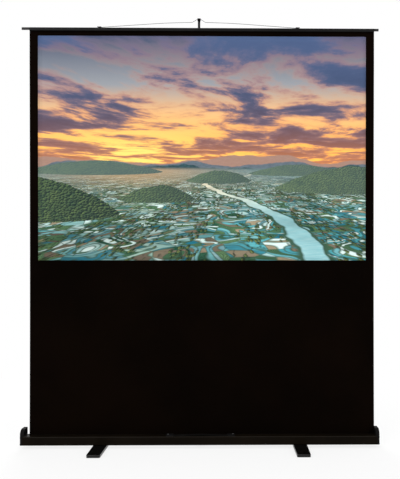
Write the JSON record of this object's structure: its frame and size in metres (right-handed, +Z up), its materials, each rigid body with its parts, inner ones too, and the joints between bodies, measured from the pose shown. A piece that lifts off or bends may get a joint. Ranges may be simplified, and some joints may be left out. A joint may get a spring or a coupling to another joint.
{
  "type": "floor-standing projection screen",
  "caption": "Pull-up projection screen: fabric on a spring roller in a low floor case with swivel feet, top bar hung by a wire on a folding telescopic pole.",
  "frame": {"origin": "on the floor, under the middle of the case", "axes": "+Z up, the viewer stands at -Y and sees +X on the right"},
  "size_m": [1.768, 0.37, 2.1309],
  "materials": {
    "case_black": "satin",
    "bar_black": "satin",
    "pole_black": "satin",
    "plastic_black": "satin",
    "foot_black": "satin",
    "bracket_steel": "satin",
    "steel": "satin",
    "tube_aluminium": "satin",
    "wire_steel": "satin",
    "fabric_black": "matte",
    "viewing_white": "matte",
    "rubber_black": "matte"
  },
  "bodies": {
    "base": {"case_body": "case_black", "slot_liners": "plastic_black", "left_end_cap": "plastic_black", "right_end_cap": "plastic_black", "end_cap_screws": "steel", "left_roller_bracket": "steel", "right_roller_bracket": "steel", "spring_shaft": "steel", "roller_spring": "steel", "screen_fabric": "fabric_black", "viewing_surface": "viewing_white", "pole_bracket": "bracket_steel", "pole_bracket_screws": "steel", "pole_pivot_bolt": "steel", "left_foot_pivot": "steel", "right_foot_pivot": "steel", "carry_handle": "rubber_black", "handle_end_caps": "plastic_black", "handle_screws": "steel"},
    "roller": {"roller_tube": "tube_aluminium", "left_roller_plug": "plastic_black", "right_roller_plug": "plastic_black", "fabric_roll": "fabric_black"},
    "bar": {"top_bar": "bar_black", "fabric_spline": "plastic_black", "left_bar_end": "plastic_black", "right_bar_end": "plastic_black", "left_wire_clip": "plastic_black", "right_wire_clip": "plastic_black"},
    "wire": {"suspension_wire": "wire_steel"},
    "pole_lower": {"pole_knuckle": "plastic_black", "pole_lower_tube": "pole_black", "lower_clamp_collar": "plastic_black", "lower_clamp_bolt": "steel"},
    "pole_middle": {"pole_middle_tube": "pole_black", "middle_tube_glide": "plastic_black", "upper_clamp_collar": "plastic_black", "upper_clamp_bolt": "steel"},
    "pole_upper": {"pole_upper_tube": "pole_black", "upper_tube_glide": "plastic_black", "pole_hook": "plastic_black"},
    "lower_lever": {"lower_clamp_lever": "plastic_black"},
    "upper_lever": {"upper_clamp_lever": "plastic_black"},
    "pivot_knob": {"pole_pivot_knob": "plastic_black"},
    "left_foot": {"left_foot_bar": "foot_black", "left_foot_pads": "rubber_black"},
    "right_foot": {"right_foot_bar": "foot_black", "right_foot_pads": "rubber_black"}
  },
  "joints": [
    {"name": "screen_rise", "type": "slide", "parent": "base", "child": "bar", "axis": [0, 0, 1], "range_m": [-1.9965, 0], "deforming": ["screen_fabric", "viewing_surface", "suspension_wire"]},
    {"name": "roller_spin", "type": "hinge", "parent": "base", "child": "roller", "pos_m": [0, 0.00465, 0.0375], "axis": [1, 0, 0], "range_deg": [-7620, 0]},
    {"name": "wire_swing", "type": "hinge", "parent": "bar", "child": "wire", "pos_m": [-0.01, 0.017, 2.0745], "axis": [1, 0, 0], "range_deg": [0, 100]},
    {"name": "pole_fold", "type": "hinge", "parent": "base", "child": "pole_lower", "pos_m": [-0.01, 0.049, 0.038], "axis": [0, 1, 0], "range_deg": [0, 90]},
    {"name": "middle_slide", "type": "slide", "parent": "pole_lower", "child": "pole_middle", "axis": [0, 0, 1], "range_m": [-0.6, 0]},
    {"name": "upper_slide", "type": "slide", "parent": "pole_middle", "child": "pole_upper", "axis": [0, 0, 1], "range_m": [-0.66, 0]},
    {"name": "lower_lever_open", "type": "hinge", "parent": "pole_lower", "child": "lower_lever", "pos_m": [-0.022, 0.068, 0.743], "axis": [0, 0, -1], "range_deg": [0, 110]},
    {"name": "upper_lever_open", "type": "hinge", "parent": "pole_middle", "child": "upper_lever", "pos_m": [-0.022, 0.068, 1.431], "axis": [0, 0, -1], "range_deg": [0, 110]},
    {"name": "pivot_knob_turn", "type": "hinge", "parent": "base", "child": "pivot_knob", "pos_m": [-0.01, 0.049, 0.038], "axis": [0, 1, 0], "range_deg": [0, 540]},
    {"name": "left_foot_swivel", "type": "hinge", "parent": "base", "child": "left_foot", "pos_m": [-0.49, 0, 0.01], "axis": [0, 0, 1], "range_deg": [0, 90]},
    {"name": "right_foot_swivel", "type": "hinge", "parent": "base", "child": "right_foot", "pos_m": [0.49, 0, 0.01], "axis": [0, 0, -1], "range_deg": [0, 90]}
  ],
  "couplings": [
    {"joint": "roller_spin", "follows": "screen_rise", "rad_per_m": 66.4}
  ]
}
